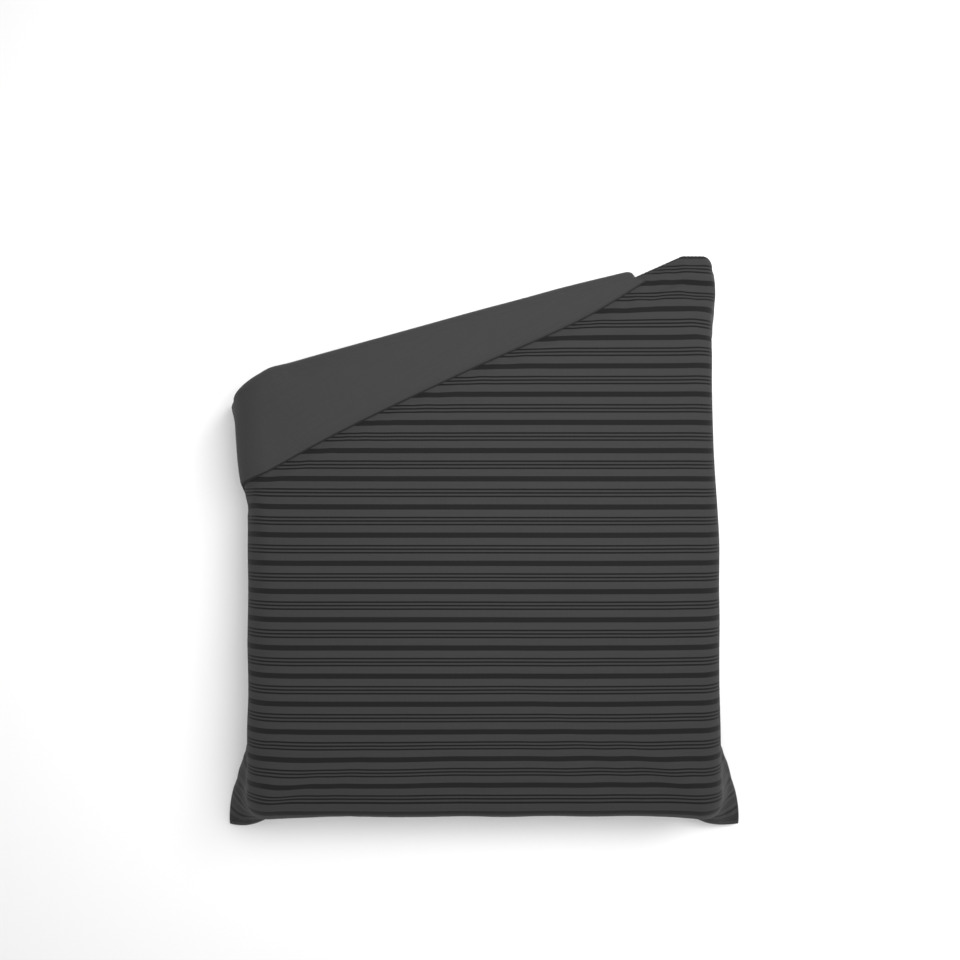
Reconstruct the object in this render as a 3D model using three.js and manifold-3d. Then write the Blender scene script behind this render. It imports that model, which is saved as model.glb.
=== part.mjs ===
// A double duvet in its cover, draped as on a made bed with one head corner turned back.
// Millimetres, +X to the sleeper's right (seen from above, head up), +Y to the head, +Z up.
// The origin is the point of the flat underside that lies over the middle of the mattress.
//
// Cloth coordinates: u runs across the duvet and v along it, measured on the flat cloth, and
// t is the height above the surface that the duvet rests on. drape() turns them into space.

import * as THREE from 'three';
import { mergeVertices } from 'three/addons/utils/BufferGeometryUtils.js';
import Module from 'manifold-3d';

const wasm = await Module();
wasm.setup();

// Driving dimensions
const DUVET_WIDTH = 2000;
const DUVET_LENGTH = 2000;
const MATTRESS_WIDTH = 1350;
const MATTRESS_FOOT_Y = -1045;
const HEAD_HEM_Y = 660;
const BEND_RADIUS = 40; // inner radius where the duvet turns over the mattress edge
const SIDE_DROP_ANGLE = 87; // degrees below level
const FOOT_DROP_ANGLE = 90;
const CORNER_FLARE_X = 150; // how far the cloth's foot corners stand out past the drops
const CORNER_FLARE_Y = 150;
const FLARE_POWER = 1.5; // how the flare grows down the drops
const SIDE_FLARE_START = 400; // how far before the mattress corner the side hems' flare begins
const ZIP_FLARE_GAP = 15; // from the end of the zip, which stays straight, to the foot hem's flare
const CREASE_FLARE_X = 80; // how far the side hem stands out where the turned corner's crease ends
const CREASE_FLARE_LENGTH = 330;
const COVER_CLOTH = 1.2;
const FILLING = 32;
const GAP = 0.3; // running clearance between neighbours
const FOLD_GAP = 1; // between the two faces inside the turned corner
const CREASE_GAP = 1.5; // between the crease's pieces and the flat ones
const SIDE_LIFT = 8; // extra room under the turned corner where it goes over the edge
const LIFT_REACH = 90; // how far from the edge it begins
const SEAM_WIDTH = 10;
const SEAM_GAP = 2.3; // from a panel's edge to the seam that closes it
const BORDER = 20; // room inside the cover round the insert
const BINDING_WIDTH = 8;
const BINDING_HEIGHT = 14;
const BINDING_GAP = 7; // between the binding and the filling
const CHANNEL_COUNT = 8;

// The crease of the turned corner, on the cloth
const CREASE_ANGLE = 15.9; // degrees from +X
const CREASE_X0_Y = 459; // where the crease's line crosses x = 0
const CREASE_END_U = 470; // the crease dies out here, near the head hem
const CREASE_HEM_V = 205; // where the crease meets the side hem
const CREASE_FALL_START = 35; // before the mattress edge it starts to fall to that
const CREASE_FALL_END = 125; // past the edge it has fallen
const APEX_U = 620; // the turned corner's hem leaves the head hem here
// The turned corner's head hem, as points on the cloth that it lies on, side hem to head hem
const TURNED_HEM = [[-816, -95], [-458, 104], [-60, 296], [324, 471], [APEX_U, HEAD_HEM_Y]];
const TURNED_SIDE_U = -500; // left of this the turned corner hangs over the edge

// The zip in the foot hem
const ZIP_HALF = 400;
const CHAIN_WIDTH = 2.2;
const CHAIN_HEIGHT = 2.6;
const CHAIN_GAP = 1.4;
const NECK = 0.8;
const SLIDER_LENGTH = 12;
const SLIDER_WIDTH = 9;
const SLIDER_PLATE = 1.5;
const SLIDER_REST = 2; // from the end stop to the slider when it's closed
const NECK_BACK = 2; // the neck's reach behind and ahead of the slider's middle
const NECK_AHEAD = 4;
const WELD = 0.5; // how far joined shapes run into each other
const PULL_LENGTH = 20;
const PULL_DEPTH = 3.2;
const PULL_PIN_RADIUS = 0.7;
const PULL_PIN_DROP = 3;
const PULL_EYE_RADIUS = 1.9;
const EAR = 1;
const EAR_HALF = 1.6;
const EAR_BELOW = 1.3; // how far an ear runs past the pin's middle
const STEM_HALF = 0.8;
const STEM_LENGTH = 7;
const GRIP_HALF = 2.4;
const GRIP_START = 10;
const STOP_LENGTH = 4;

// Corner fastenings and label
const TIE_LENGTH = 60;
const TAPE_THICKNESS = 1.5;
const TAPE_MARGIN = 7; // between a tape and the edges beside it
const LOOP_INSET = 10; // how much shorter a loop is than its tie, at each end
const TURNED_LOOP_MARGIN = 1;
const LABEL_LENGTH = 45;
const LABEL_THICKNESS = 1;
const LABEL_DROP = 5; // below the middle of the thickness
const LABEL_FROM_MATTRESS_FOOT = 245;
const LABEL_MARGIN = 1;

// Worked-out sizes
const HALF_WIDTH = DUVET_WIDTH / 2;
const MATTRESS_HALF = MATTRESS_WIDTH / 2;
const FOOT_HEM_V = HEAD_HEM_Y - DUVET_LENGTH;
const THICKNESS = 2 * COVER_CLOTH + 2 * GAP + FILLING;
const MID_RADIUS = BEND_RADIUS + THICKNESS / 2;
const SIDE_CLOTH = HALF_WIDTH - MATTRESS_HALF;
const FOOT_CLOTH = MATTRESS_FOOT_Y - FOOT_HEM_V;
const CREASE_SLOPE = Math.tan(THREE.MathUtils.degToRad(CREASE_ANGLE));
const SIDE_BEND = THREE.MathUtils.degToRad(SIDE_DROP_ANGLE);
const FOOT_BEND = THREE.MathUtils.degToRad(FOOT_DROP_ANGLE);
const PANEL_EDGE = HALF_WIDTH - SEAM_WIDTH;
const INSERT_INSET = SEAM_WIDTH + BORDER;
const INSERT_EDGE = HALF_WIDTH - INSERT_INSET;
const CHANNEL_EDGE = INSERT_EDGE - BINDING_WIDTH - BINDING_GAP;
const CHANNEL_FOOT_V = FOOT_HEM_V + INSERT_INSET + BINDING_WIDTH + BINDING_GAP;
const CHANNEL_WIDTH = DUVET_WIDTH / CHANNEL_COUNT;
const MID_T = THICKNESS / 2;

const GRID_MERGE = 1; // grid lines closer than this become one
const CREASE_STEPS = 8; // flat faces round the crease
const DROP_STEP = 60; // largest grid square on the drops
const TURNED_STEP = 32; // and on the turned corner

// The layers of one thickness of duvet: [bottom, top] in t
const REVERSE_LAYER = [0, COVER_CLOTH];
const INSERT_LAYER = [COVER_CLOTH + GAP, COVER_CLOTH + GAP + FILLING];
const FACE_LAYER = [THICKNESS - COVER_CLOTH, THICKNESS];

function smooth(x, from, to) {
  return THREE.MathUtils.smoothstep(x, from, to);
}

// How far out and down a drop's inner surface is, a given cloth length past the mattress edge
function drop(cloth, bend) {
  const hang = Math.max(0, cloth);
  const turned = Math.min(hang / MID_RADIUS, bend);
  const straight = Math.max(0, hang - MID_RADIUS * bend);
  return {
    out: BEND_RADIUS * Math.sin(turned) + straight * Math.cos(bend),
    down: BEND_RADIUS * (1 - Math.cos(turned)) + straight * Math.sin(bend),
  };
}

const DEPTH = Math.max(drop(SIDE_CLOTH, SIDE_BEND).down, drop(FOOT_CLOTH, FOOT_BEND).down);

// The surface that the duvet's underside lies on. Where both drops meet at a foot corner, the
// cloth flares out and its hem is as low as the lower of the two. The left side hem also stands
// out under the stiff end of the turned corner's crease.
function under(u, v) {
  const side = drop(Math.abs(u) - MATTRESS_HALF, SIDE_BEND);
  const foot = drop(MATTRESS_FOOT_Y - v, FOOT_BEND);
  const sideShare = Math.max(0, Math.abs(u) - MATTRESS_HALF) / SIDE_CLOTH;
  const footShare = Math.max(0, MATTRESS_FOOT_Y - v) / FOOT_CLOTH;
  const towardsFoot = smooth(-v, -MATTRESS_FOOT_Y - SIDE_FLARE_START, -FOOT_HEM_V);
  const towardsSide = smooth(Math.abs(u), ZIP_HALF + ZIP_FLARE_GAP, HALF_WIDTH);
  const towardsCrease = u < 0 ? smooth(v, CREASE_HEM_V - CREASE_FLARE_LENGTH, CREASE_HEM_V) : 0;
  const flareX = CORNER_FLARE_X * towardsFoot + CREASE_FLARE_X * towardsCrease;
  const outX = side.out + flareX * sideShare ** FLARE_POWER;
  const outY = foot.out + CORNER_FLARE_Y * footShare ** FLARE_POWER * towardsSide;
  const kept = (1 - side.down / DEPTH) * (1 - foot.down / DEPTH);
  return new THREE.Vector3(
    Math.sign(u) * (Math.min(Math.abs(u), MATTRESS_HALF) + outX),
    Math.max(v, MATTRESS_FOOT_Y) - outY,
    -DEPTH * (1 - kept),
  );
}

// A point of the duvet in space, from its cloth coordinates
function drape(u, v, t) {
  const step = 0.5;
  const across = under(u + step, v).sub(under(u - step, v));
  const along = under(u, v + step).sub(under(u, v - step));
  return under(u, v).addScaledVector(across.cross(along).normalize(), t);
}

// The crease on the cloth: straight on the mattress, falling at its edge and level near the hem
function creaseV(u) {
  const line = CREASE_X0_Y + CREASE_SLOPE * u;
  const fallen = smooth(-u, MATTRESS_HALF - CREASE_FALL_START, MATTRESS_HALF + CREASE_FALL_END);
  return THREE.MathUtils.lerp(line, CREASE_HEM_V, fallen);
}

// The edge of the part that isn't turned back: the crease, then the head hem
function headV(u) {
  if (u <= CREASE_END_U) return creaseV(u);
  const share = Math.min(1, (u - CREASE_END_U) / (APEX_U - CREASE_END_U));
  return THREE.MathUtils.lerp(creaseV(CREASE_END_U), HEAD_HEM_Y, share);
}

// A closed slab: a box whose grid points are moved to their places.
// us, vs and ts are the grid values along its three directions.
function slab(us, vs, ts, place) {
  const counts = [us.length - 1, vs.length - 1, ts.length - 1];
  const box = new THREE.BoxGeometry(1, 1, 1, ...counts);
  const position = box.getAttribute('position');
  for (let i = 0; i < position.count; i += 1) {
    const iu = Math.round((position.getX(i) + 0.5) * counts[0]);
    const iv = Math.round((position.getY(i) + 0.5) * counts[1]);
    const it = Math.round((position.getZ(i) + 0.5) * counts[2]);
    const point = place(us[iu], vs[iv], ts[it]);
    position.setXYZ(i, point.x, point.y, point.z);
  }
  alignDiagonals(box);
  return box;
}

// Splits the squares of opposite sides along the same diagonals, so that the touching faces of
// neighbours stay parallel
function alignDiagonals(box) {
  const { index } = box;
  for (const side of [box.groups[1], box.groups[3], box.groups[5]]) {
    for (let i = side.start; i < side.start + side.count; i += 6) {
      const [a, b, c, d] = [i, i + 1, i + 4, i + 2].map((k) => index.getX(k));
      [a, b, c, a, c, d].forEach((corner, k) => index.setX(i + k, corner));
    }
  }
}

function spread(from, to, count) {
  return Array.from({ length: count + 1 }, (_, i) => from + ((to - from) * i) / count);
}

// The same with steps of about a given length
function evenly(from, to, step) {
  return spread(from, to, Math.ceil(Math.abs(to - from) / step));
}

// The grid values between two ends, out of a list of shared ones, so that layers stay parallel
function between(list, from, to) {
  return [from, ...list.filter((x) => x > from + GRID_MERGE && x < to - GRID_MERGE), to];
}

const BEND_CLOTH = MID_RADIUS * FOOT_BEND;
const SIDE_STEPS = [
  ...spread(MATTRESS_HALF, MATTRESS_HALF + BEND_CLOTH, 4),
  ...evenly(MATTRESS_HALF + BEND_CLOTH, HALF_WIDTH, DROP_STEP).slice(1),
  CHANNEL_EDGE,
  INSERT_EDGE,
  PANEL_EDGE,
];
const CHANNEL_LINES = spread(-HALF_WIDTH, HALF_WIDTH, CHANNEL_COUNT).slice(1, -1);
const U_GRID = [...SIDE_STEPS.map((x) => -x), ...CHANNEL_LINES, ...SIDE_STEPS]
  .concat([CREASE_FALL_START - MATTRESS_HALF, CREASE_END_U, CREASE_END_U + 2 * GAP, APEX_U])
  .sort((a, b) => a - b)
  .filter((x, i, all) => i === 0 || x - all[i - 1] > GRID_MERGE / 2);
const FOOT_GRID = [
  FOOT_HEM_V,
  FOOT_HEM_V + SEAM_WIDTH,
  ...evenly(CHANNEL_FOOT_V, MATTRESS_FOOT_Y - BEND_CLOTH, DROP_STEP),
  ...spread(MATTRESS_FOOT_Y - BEND_CLOTH, MATTRESS_FOOT_Y, 4).slice(1),
];
const FLARE_GRID = evenly(MATTRESS_FOOT_Y, MATTRESS_FOOT_Y + SIDE_FLARE_START, DROP_STEP).slice(1);
const TOP_SHARES = spread(0, 1, 2).slice(1);

// Grid values along the duvet: real ones over the foot, then shares of the way to the head edge
function alongGrid(from) {
  const foot = [from, ...FOOT_GRID.filter((x) => x > from + GRID_MERGE), ...FLARE_GRID];
  return [...foot, ...TOP_SHARES.map((share) => ({ share }))];
}

// A slab of the part of the duvet that isn't turned back
function drapedSlab(us, footV, layer, headEdge) {
  return slab(us, alongGrid(footV), layer, (u, v, t) => {
    const top = THREE.MathUtils.lerp(MATTRESS_FOOT_Y + SIDE_FLARE_START, headEdge(u), v.share);
    const along = typeof v === 'number' ? v : top;
    return drape(u, along, t);
  });
}

function plainSlab(us, vs, ts) {
  return slab(us, vs, ts, drape);
}

// A slab along the head edge, between two distances from it
function headSlab(us, far, near, ts) {
  return slab(us, [far, near], ts, (u, inset, t) => drape(u, headV(u) - inset, t));
}

// The turned corner lies on the duvet upside down. Its grid runs along the crease by u and
// across it by w, the distance from the turned head hem towards the crease.
const hemCurve = new THREE.SplineCurve(TURNED_HEM.map(([x, y]) => new THREE.Vector2(x, y)));
const SIDE_ACROSS = 9;
const TURNED_GRID = [
  ...evenly(-INSERT_EDGE, CHANNEL_WIDTH - HALF_WIDTH, TURNED_STEP),
  ...evenly(CHANNEL_WIDTH - HALF_WIDTH, TURNED_SIDE_U, TURNED_STEP).slice(1),
  ...U_GRID.filter((x) => x > TURNED_SIDE_U),
];

function lift(u) {
  return SIDE_LIFT * (1 - smooth(u, -MATTRESS_HALF, -MATTRESS_HALF + LIFT_REACH));
}

function turnedLine(u) {
  const share = (u + HALF_WIDTH) / (APEX_U + HALF_WIDTH);
  const hem = hemCurve.getPointAt(Math.min(1, Math.max(0, share)));
  const crease = new THREE.Vector2(u, creaseV(u));
  return { hem, crease, width: hem.distanceTo(crease) };
}

// A slab of the turned corner. A w is a length, or a share of the way to the crease from the
// insert's edge. layer is given as on the flat duvet, and lies mirrored above the fold.
function turnedSlab(us, ws, layer) {
  const heights = [2 * THICKNESS + FOLD_GAP - layer[1], 2 * THICKNESS + FOLD_GAP - layer[0]];
  return slab(us, ws, heights, (u, w, t) => {
    const { hem, crease, width } = turnedLine(u);
    const length = typeof w === 'number' ? w : THREE.MathUtils.lerp(INSERT_INSET, width - GAP, w.share);
    const spot = hem.clone().lerp(crease, length / width);
    return drape(spot.x, spot.y, t + lift(spot.x));
  });
}

function acrossShares(count) {
  return spread(0, 1, count).map((share) => ({ share }));
}

// The half-round of cloth or filling that joins the two layers round the crease
function creaseSlab(us, layer) {
  const axisT = THICKNESS + FOLD_GAP / 2;
  const radii = [axisT - layer[1], axisT - layer[0]];
  return slab(us, spread(0, Math.PI, CREASE_STEPS), radii, (u, angle, r) => {
    const raised = lift(u) / 2;
    const t = axisT + raised;
    const centre = drape(u, creaseV(u), t);
    const above = drape(u, creaseV(u), t + 1);
    const normal = above.sub(centre).normalize();
    const ahead = drape(u + 1, creaseV(u + 1), t);
    const back = drape(u - 1, creaseV(u - 1), t);
    const outward = normal.clone().cross(ahead.sub(back)).normalize();
    return centre
      .addScaledVector(normal, (r + raised) * Math.cos(angle))
      .addScaledVector(outward, (r + raised) * Math.sin(angle) + CREASE_GAP + raised / 2);
  });
}

// Joining and cutting closed solids
function toManifold(geometry) {
  const bare = new THREE.BufferGeometry();
  bare.setAttribute('position', geometry.getAttribute('position').clone());
  if (geometry.index) bare.setIndex(geometry.index.clone());
  const merged = mergeVertices(bare, 1e-4);
  return new wasm.Manifold(new wasm.Mesh({
    numProp: 3,
    vertProperties: new Float32Array(merged.getAttribute('position').array),
    triVerts: new Uint32Array(merged.index.array),
  }));
}

function fromManifold(solid) {
  const mesh = solid.getMesh();
  const geometry = new THREE.BufferGeometry();
  geometry.setAttribute('position', new THREE.BufferAttribute(mesh.vertProperties, 3));
  geometry.setIndex(new THREE.BufferAttribute(mesh.triVerts, 1));
  return geometry;
}

function joined(geometries) {
  return fromManifold(geometries.map(toManifold).reduce((a, b) => a.add(b)));
}

// Materials
function finish(color, roughness, metalness = 0) {
  return () => new THREE.MeshStandardMaterial({ color, roughness, metalness });
}

const faceCloth = finish(0x464646, 0.92);
const reverseCloth = finish(0x4c4c4c, 0.92);
const seamCloth = finish(0x3a3a3a, 0.95);
const fillingCloth = finish(0xeceae4, 0.95);
const bindingCloth = finish(0xdedbd2, 0.9);
const tapeCloth = finish(0x3c3c3c, 0.9);
const nylon = finish(0x2a2a2a, 0.45);
const zincMetal = finish(0x8c8c90, 0.35, 1);
const labelCloth = finish(0xf2f1ee, 0.6);

const duvet = new THREE.Group();

function add(name, geometry, material) {
  const mesh = new THREE.Mesh(geometry, material());
  mesh.name = name;
  duvet.add(mesh);
}

// Cover panels, the part that isn't turned back
function addPanels() {
  const us = between(U_GRID, -PANEL_EDGE, PANEL_EDGE);
  const headEdge = (u) => headV(u) - (u <= CREASE_END_U ? 0 : SEAM_WIDTH);
  add('cover_face_panel', drapedSlab(us, FOOT_HEM_V + SEAM_WIDTH, FACE_LAYER, headEdge), faceCloth);
  add('cover_reverse_panel', drapedSlab(us, FOOT_HEM_V + SEAM_WIDTH, REVERSE_LAYER, headEdge),
    reverseCloth);
}

// The pieces of the turned corner come in two lots: the flat one and the one that hangs
const TURNED_LOTS = [
  { ending: '', from: TURNED_SIDE_U + GAP / 2, to: CREASE_END_U, steps: 1 },
  { ending: '_side', from: -PANEL_EDGE, to: TURNED_SIDE_U - GAP / 2, steps: SIDE_ACROSS },
];

function addTurnedPanels() {
  for (const { ending, from, to, steps } of TURNED_LOTS) {
    const us = between(TURNED_GRID, from, to);
    const ws = [SEAM_WIDTH, ...acrossShares(steps)];
    add(`turned_face_panel${ending}`, turnedSlab(us, ws, FACE_LAYER), faceCloth);
    add(`turned_reverse_panel${ending}`, turnedSlab(us, ws, REVERSE_LAYER), reverseCloth);
  }
}

function addCrease() {
  const us = between(TURNED_GRID, -PANEL_EDGE, CREASE_END_U);
  add('crease_face_cloth', creaseSlab(us, FACE_LAYER), faceCloth);
  add('crease_filling', creaseSlab(us, INSERT_LAYER), fillingCloth);
  add('crease_reverse_cloth', creaseSlab(us, REVERSE_LAYER), reverseCloth);
}

// The insert: lengthwise stitched channels of filling
function addInsert() {
  const inset = INSERT_INSET + BINDING_WIDTH + BINDING_GAP;
  const headEdge = (u) => headV(u) - (u <= CREASE_END_U ? 0 : inset);
  for (let k = 0; k < CHANNEL_COUNT; k += 1) {
    const start = -HALF_WIDTH + k * CHANNEL_WIDTH;
    const left = Math.max(start + GAP / 2, -CHANNEL_EDGE);
    const right = Math.min(start + CHANNEL_WIDTH - GAP / 2, CHANNEL_EDGE);
    const us = between(U_GRID, left, right);
    add(`insert_channel_${k + 1}`, drapedSlab(us, CHANNEL_FOOT_V, INSERT_LAYER, headEdge), fillingCloth);
  }
}

// The insert inside the turned corner, cut by the same channel lines
function addTurnedInsert() {
  const lines = CHANNEL_LINES.filter((x) => x < CREASE_END_U - CHANNEL_WIDTH / 2);
  const ends = [-INSERT_EDGE, ...lines, CREASE_END_U];
  lines.forEach((_, k) => addTurnedChannel(k + 1, ends[k], ends[k + 1]));
  addTurnedChannel(lines.length + 1, ends[lines.length], CREASE_END_U);
}

function addTurnedChannel(number, from, to) {
  const us = between(TURNED_GRID, from + GAP / 2, to - GAP / 2);
  const steps = from < TURNED_SIDE_U ? SIDE_ACROSS : 1;
  add(`turned_insert_channel_${number}`, turnedSlab(us, acrossShares(steps), INSERT_LAYER),
    fillingCloth);
}

// The binding sewn round the insert's edge
function addBinding() {
  const ts = [MID_T - BINDING_HEIGHT / 2, MID_T + BINDING_HEIGHT / 2];
  const footV = FOOT_HEM_V + SEAM_WIDTH + BORDER;
  const inner = INSERT_EDGE - BINDING_WIDTH;
  add('insert_binding_left', drapedSlab([-INSERT_EDGE, -inner], footV, ts, (u) => creaseV(u)),
    bindingCloth);
  add('insert_binding_right', drapedSlab([inner, INSERT_EDGE], footV, ts, (u) => headV(u) - INSERT_INSET),
    bindingCloth);
  add('insert_binding_foot', plainSlab(between(U_GRID, -inner + BINDING_GAP, inner - BINDING_GAP),
    [footV, footV + BINDING_WIDTH], ts), bindingCloth);
  const headUs = between(U_GRID, CREASE_END_U + 2 * GAP, inner - BINDING_GAP);
  add('insert_binding_head', headSlab(headUs, INSERT_INSET + BINDING_WIDTH, INSERT_INSET, ts),
    bindingCloth);
}

// The cover's closed seams, which are also its edges
function addSeams() {
  const ts = [0, THICKNESS];
  const seamEdge = PANEL_EDGE + SEAM_GAP;
  const headEdge = (u) => headV(u);
  add('side_seam_left', drapedSlab([-HALF_WIDTH, -seamEdge], FOOT_HEM_V, ts, headEdge), seamCloth);
  add('side_seam_right', drapedSlab([seamEdge, HALF_WIDTH], FOOT_HEM_V, ts, headEdge), seamCloth);
  const headUs = between(U_GRID, CREASE_END_U + 2 * GAP, PANEL_EDGE);
  add('head_seam', headSlab(headUs, SEAM_WIDTH - SEAM_GAP, 0, ts), seamCloth);
  const footVs = [FOOT_HEM_V, FOOT_HEM_V + SEAM_WIDTH - SEAM_GAP];
  const zipEnd = ZIP_HALF + STOP_LENGTH + GAP;
  add('foot_seam_left', plainSlab(between(U_GRID, -PANEL_EDGE, -zipEnd), footVs, ts), seamCloth);
  add('foot_seam_right', plainSlab(between(U_GRID, zipEnd, PANEL_EDGE), footVs, ts), seamCloth);
}

// The same seams where they run round the turned corner
function addTurnedSeams() {
  const whole = [0, THICKNESS];
  const sideUs = [-HALF_WIDTH, -PANEL_EDGE - SEAM_GAP];
  add('turned_side_seam', turnedSlab(sideUs, [0, ...acrossShares(SIDE_ACROSS)], whole), seamCloth);
  for (const { ending, from, to } of TURNED_LOTS) {
    const us = between(TURNED_GRID, from, to);
    add(`turned_head_seam${ending}`, turnedSlab(us, [0, SEAM_WIDTH - SEAM_GAP], whole), seamCloth);
  }
}

// The zip: its tapes close the foot edge, and its two half chains run side by side
function addZip() {
  const us = [-ZIP_HALF, ZIP_HALF];
  const vs = [FOOT_HEM_V, FOOT_HEM_V + CHAIN_HEIGHT];
  const near = CHAIN_GAP / 2;
  const far = near + CHAIN_WIDTH;
  add('zip_tape_reverse', plainSlab(us, vs, [0, MID_T - far - GAP]), tapeCloth);
  add('zip_tape_face', plainSlab(us, vs, [MID_T + far + GAP, THICKNESS]), tapeCloth);
  add('zip_chain_reverse', plainSlab(us, vs, [MID_T - far, MID_T - near]), nylon);
  add('zip_chain_face', plainSlab(us, vs, [MID_T + near, MID_T + far]), nylon);
  const stopTs = [MID_T - SLIDER_WIDTH / 2, MID_T + SLIDER_WIDTH / 2];
  add('zip_stop_left', plainSlab([-ZIP_HALF - STOP_LENGTH, -ZIP_HALF - GAP], vs, stopTs), zincMetal);
  add('zip_stop_right', plainSlab([ZIP_HALF + GAP, ZIP_HALF + STOP_LENGTH], vs, stopTs), zincMetal);
}

const SLIDER_U = ZIP_HALF - SLIDER_LENGTH / 2 - SLIDER_REST;
const PIN_V = FOOT_HEM_V - GAP - SLIDER_PLATE - PULL_PIN_DROP;

function addSlider() {
  const us = [SLIDER_U - SLIDER_LENGTH / 2, SLIDER_U + SLIDER_LENGTH / 2];
  const plate = [MID_T - SLIDER_WIDTH / 2, MID_T + SLIDER_WIDTH / 2];
  const outerV = FOOT_HEM_V - GAP;
  const innerV = FOOT_HEM_V + CHAIN_HEIGHT + GAP;
  const outer = plainSlab(us, [outerV - SLIDER_PLATE, outerV], plate);
  const inner = plainSlab(us, [innerV, innerV + SLIDER_PLATE], plate);
  const neck = plainSlab([SLIDER_U - NECK_BACK, SLIDER_U + NECK_AHEAD], [outerV - WELD, innerV + WELD],
    [MID_T - NECK / 2, MID_T + NECK / 2]);
  const earFrom = PULL_DEPTH / 2 + GAP;
  const ears = [-1, 1].map((way) => {
    const ts = [MID_T + way * earFrom, MID_T + way * (earFrom + EAR)].sort((a, b) => a - b);
    const earVs = [PIN_V - EAR_BELOW, outerV - SLIDER_PLATE / 2];
    return plainSlab([SLIDER_U - EAR_HALF, SLIDER_U + EAR_HALF], earVs, ts);
  });
  const pin = new THREE.CylinderGeometry(PULL_PIN_RADIUS, PULL_PIN_RADIUS, 2 * earFrom + EAR, 16);
  const spot = drape(SLIDER_U, PIN_V, MID_T);
  pin.translate(spot.x, spot.y, spot.z);
  add('zip_slider', joined([outer, inner, neck, ...ears, pin]), zincMetal);
}

// The pull hangs from the slider's pin by its eye
function addPull() {
  const shape = new THREE.Shape();
  const shoulder = Math.sqrt(PULL_EYE_RADIUS ** 2 - STEM_HALF ** 2);
  const shoulderAngle = Math.acos(STEM_HALF / PULL_EYE_RADIUS);
  shape.moveTo(STEM_HALF, -shoulder);
  shape.absarc(0, 0, PULL_EYE_RADIUS, -shoulderAngle, Math.PI + shoulderAngle, false);
  shape.lineTo(-STEM_HALF, -STEM_LENGTH);
  shape.lineTo(-GRIP_HALF, -GRIP_START);
  shape.lineTo(-GRIP_HALF, -PULL_LENGTH + GRIP_HALF);
  shape.absarc(0, -PULL_LENGTH + GRIP_HALF, GRIP_HALF, Math.PI, 2 * Math.PI, false);
  shape.lineTo(GRIP_HALF, -GRIP_START);
  shape.lineTo(STEM_HALF, -STEM_LENGTH);
  const eye = new THREE.Path();
  eye.absarc(0, 0, PULL_PIN_RADIUS + GAP, 0, 2 * Math.PI, true);
  shape.holes.push(eye);
  const geometry = new THREE.ExtrudeGeometry(shape, {
    depth: PULL_DEPTH, bevelEnabled: false, curveSegments: 10,
  });
  geometry.rotateX(Math.PI / 2);
  const spot = drape(SLIDER_U, PIN_V, MID_T);
  geometry.translate(spot.x, spot.y + PULL_DEPTH / 2, spot.z);
  add('zip_pull', geometry, zincMetal);
}

// Tapes that tie the insert's corner loops to the cover's corners
function addCornerTies() {
  const inEdge = INSERT_EDGE + TAPE_MARGIN;
  const outEdge = PANEL_EDGE - TAPE_MARGIN;
  const footV = FOOT_HEM_V + SEAM_WIDTH + BORDER;
  const headV0 = HEAD_HEM_Y - SEAM_WIDTH - BORDER;
  const tieTs = [MID_T - TAPE_THICKNESS / 2, MID_T + TAPE_THICKNESS / 2];
  const loopTs = tieTs.map((t) => t + TAPE_THICKNESS + TAPE_MARGIN / 2);
  const corners = [
    ['foot_left', -outEdge, -inEdge, footV],
    ['foot_right', inEdge, outEdge, footV],
    ['head_right', inEdge, outEdge, headV0 - TIE_LENGTH],
  ];
  for (const [name, from, to, v] of corners) {
    const inner = (to - from) / 4;
    add(`corner_tie_${name}`, plainSlab([from, to], spread(v, v + TIE_LENGTH, 4), tieTs), tapeCloth);
    add(`insert_loop_${name}`, plainSlab([from + inner, to - inner],
      spread(v + LOOP_INSET, v + TIE_LENGTH - LOOP_INSET, 4), loopTs), bindingCloth);
  }
}

// The fourth corner's tie and loop lie in the turned corner
function addTurnedTie() {
  const us = [-PANEL_EDGE + TAPE_MARGIN, -INSERT_EDGE - TAPE_MARGIN];
  const middle = [MID_T - TAPE_THICKNESS / 2, MID_T + TAPE_THICKNESS / 2];
  const above = middle.map((t) => t + TAPE_THICKNESS + TAPE_MARGIN / 2);
  const tie = spread(INSERT_INSET, INSERT_INSET + TIE_LENGTH, 3);
  const loop = spread(INSERT_INSET + LOOP_INSET, INSERT_INSET + TIE_LENGTH - LOOP_INSET, 3);
  const loopUs = [us[0] + TURNED_LOOP_MARGIN, us[1] - TURNED_LOOP_MARGIN];
  add('corner_tie_head_left', turnedSlab(us, tie, middle), tapeCloth);
  add('insert_loop_head_left', turnedSlab(loopUs, loop, above), bindingCloth);
}

function addLabel() {
  const us = [-PANEL_EDGE + LABEL_MARGIN, -INSERT_EDGE - LABEL_MARGIN];
  const labelV = MATTRESS_FOOT_Y + LABEL_FROM_MATTRESS_FOOT;
  const ts = [MID_T - LABEL_DROP, MID_T - LABEL_DROP + LABEL_THICKNESS];
  add('care_label', plainSlab(us, [labelV, labelV + LABEL_LENGTH], ts), labelCloth);
}

addPanels();
addTurnedPanels();
addCrease();
addInsert();
addTurnedInsert();
addBinding();
addSeams();
addTurnedSeams();
addZip();
addSlider();
addPull();
addCornerTies();
addTurnedTie();
addLabel();

export default duvet;
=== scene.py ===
"""Dresses the draped double duvet: cover, turned-back corner, quilted insert, seams, zip and stage.

Lengths are metres. Cloth coordinates follow the CAD: u runs across the duvet, v along it, and t is
the height above the surface that it rests on. drape() turns them into space.
"""

import collections
import functools
import math

import bpy
import numpy as np
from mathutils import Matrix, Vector, noise


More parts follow.
